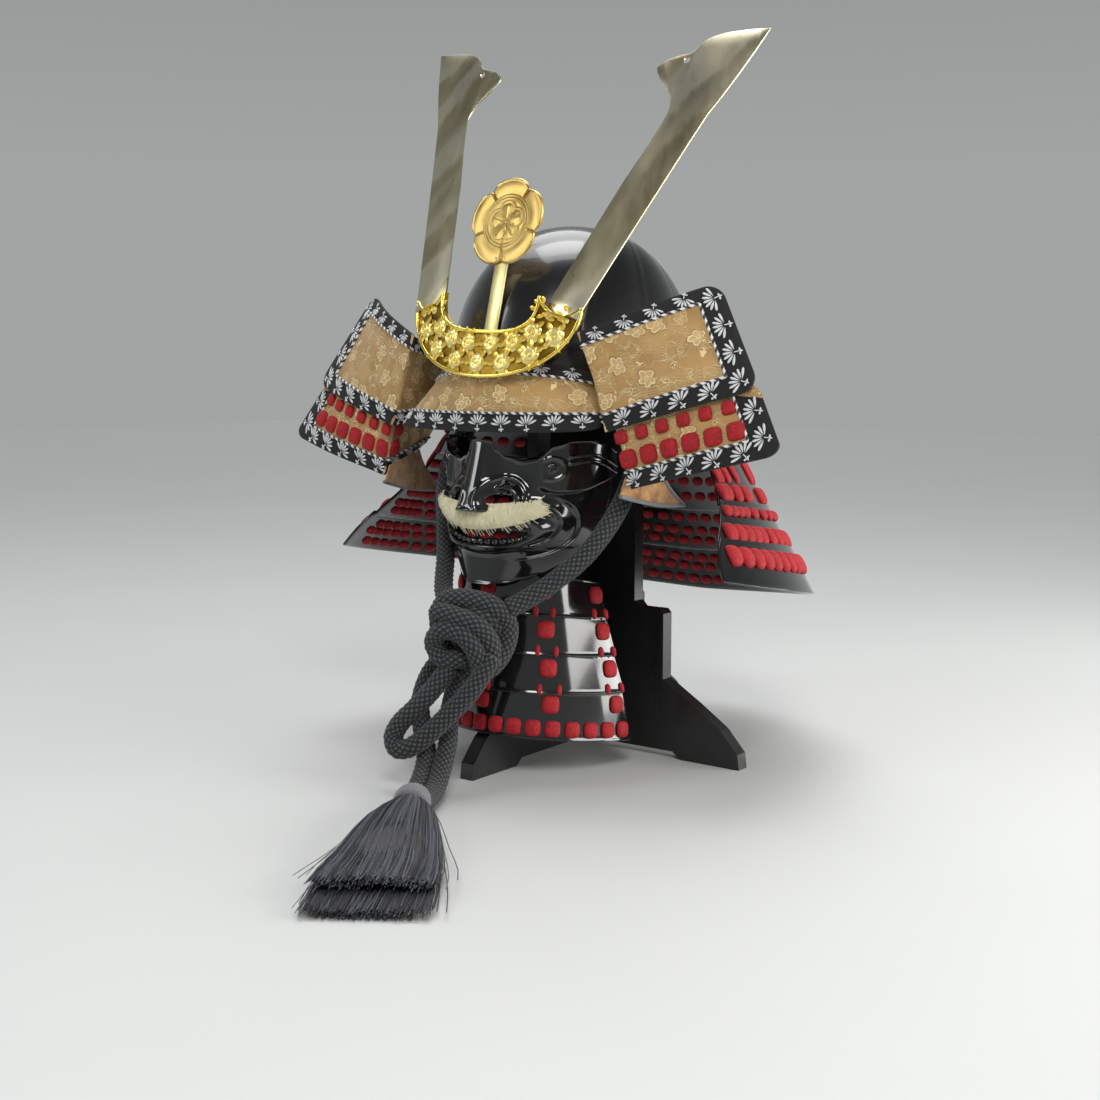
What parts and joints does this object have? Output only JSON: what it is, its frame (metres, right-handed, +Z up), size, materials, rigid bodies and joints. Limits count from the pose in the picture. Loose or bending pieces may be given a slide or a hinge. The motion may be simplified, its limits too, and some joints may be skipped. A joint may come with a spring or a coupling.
{
  "type": "kabuto samurai helmet with face mask on a display stand",
  "caption": "Black lacquered samurai helmet with gilt horns, flower crest, laced neck guard, brocade turnbacks, mustached face mask, throat guard and tied cord on a stand.",
  "frame": {"origin": "centre of the rigid pieces' footprint on the floor under the stand's feet", "axes": "+Z up; the helmet faces -Y; the wearer's left is +X"},
  "size_m": [0.5684, 0.7684, 0.7048],
  "materials": {
    "black_lacquer": "gloss black lacquer over iron",
    "gilt": "polished gilt",
    "pale_brass": "polished pale brass",
    "brocade": "gold-tan brocade over the plate, black border",
    "red_silk": "matt braided silk",
    "black_wood": "satin black paint on wood",
    "cord": "matt braided cord",
    "tassel": "fine silky thread",
    "suede": "suede",
    "hair": "cream bristle"
  },
  "bodies": {
    "root": {"stand_board_cross": "black_wood", "stand_board_side": "black_wood", "mask_bracket": "black_wood", "bowl": "black_lacquer", "crown_ring": "gilt", "visor": "brocade", "crest_socket": "black_wood", "horn_base": "gilt", "horn_left": "pale_brass", "horn_right": "pale_brass", "crest_flower": "gilt", "crest_stem": "pale_brass", "turnback_upper_left": "brocade", "turnback_upper_right": "brocade", "turnback_lower_left": "brocade", "turnback_lacing_upper_left": "red_silk", "turnback_lacing_lower_left": "red_silk", "turnback_lower_right": "brocade", "turnback_lacing_upper_right": "red_silk", "turnback_lacing_lower_right": "red_silk", "ear_flap_left": "suede", "ear_flap_right": "suede", "neck_lame_1": "black_lacquer", "neck_lame_2": "black_lacquer", "neck_lame_3": "black_lacquer", "neck_lacing_3": "red_silk", "neck_lame_4": "black_lacquer", "neck_lacing_4": "red_silk", "neck_lame_5": "black_lacquer", "neck_lacing_5": "red_silk", "face_mask": "black_lacquer", "moustache": "hair", "throat_lame_1": "black_lacquer", "throat_lacing_1": "red_silk", "throat_lame_2": "black_lacquer", "throat_lacing_2": "red_silk", "throat_lame_3": "black_lacquer", "throat_lacing_3": "red_silk", "throat_lame_4": "black_lacquer", "throat_lacing_4": "red_silk", "throat_lacing_hem": "red_silk", "chin_cord_left": "cord", "chin_cord_right": "cord", "cord_loop": "cord", "cord_tail_left": "cord", "cord_tail_right": "cord", "cord_knot": "cord", "tassel": "tassel"}
  },
  "joints": []
}
